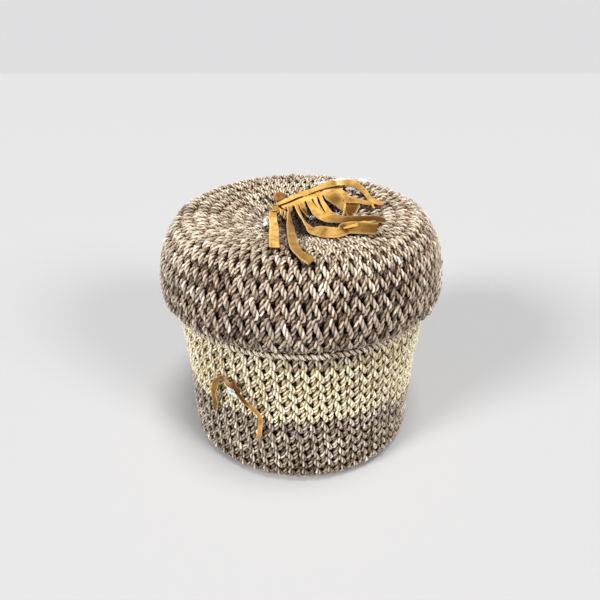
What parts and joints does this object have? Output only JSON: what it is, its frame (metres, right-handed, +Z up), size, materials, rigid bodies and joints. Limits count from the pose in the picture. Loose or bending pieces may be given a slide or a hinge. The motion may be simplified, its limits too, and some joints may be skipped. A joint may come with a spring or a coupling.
{
  "type": "lidded basket",
  "caption": "Round basket knitted from thick twisted cord, with a puffed knitted lid, a tufted middle, a leather fringe and a leather tie.",
  "frame": {"origin": "on the surface that the basket stands on, under the middle of its base", "axes": "+Z up; the front, with the leather tie to its left, faces -Y; +X to the right seen from the front"},
  "size_m": [0.23, 0.23, 0.2027],
  "materials": {
    "cord_cream": "matte twisted plant-fibre cord, cream with tan plies",
    "cord_taupe": "matte twisted plant-fibre cord, taupe with cream plies",
    "cord_tan": "matte twisted plant-fibre cord, tan",
    "cord_edge": "matte twisted plant-fibre cord, pale cast-off edge",
    "cord_brown": "matte twisted plant-fibre cord, brown marled with cream",
    "cord_dark": "matte twisted plant-fibre cord, dark brown flecked with grey",
    "padding_white": "white fibre batting",
    "leather_ochre": "soft golden tan suede",
    "leather_rust": "soft rust brown suede"
  },
  "bodies": {
    "basket": {"basket_base": "cord_tan", "basket_foot_band": "cord_taupe", "basket_upper_band": "cord_cream", "basket_mouth_edge": "cord_edge", "tie_knot": "leather_rust", "tie_tail_left": "leather_ochre", "tie_tail_right": "leather_ochre"},
    "lid": {"lid_crown": "cord_brown", "lid_centre": "cord_dark", "lid_padding": "padding_white", "lid_rim_edge": "cord_edge", "fringe_hide": "leather_ochre", "fringe_lace": "leather_ochre", "fringe_knot": "leather_ochre", "lace_front_tail": "leather_ochre", "lace_back_tail": "leather_rust"}
  },
  "joints": [
    {"name": "lid_lift", "type": "slide", "parent": "basket", "child": "lid", "axis": [0, 0, 1], "range_m": [0, 0.12]}
  ]
}
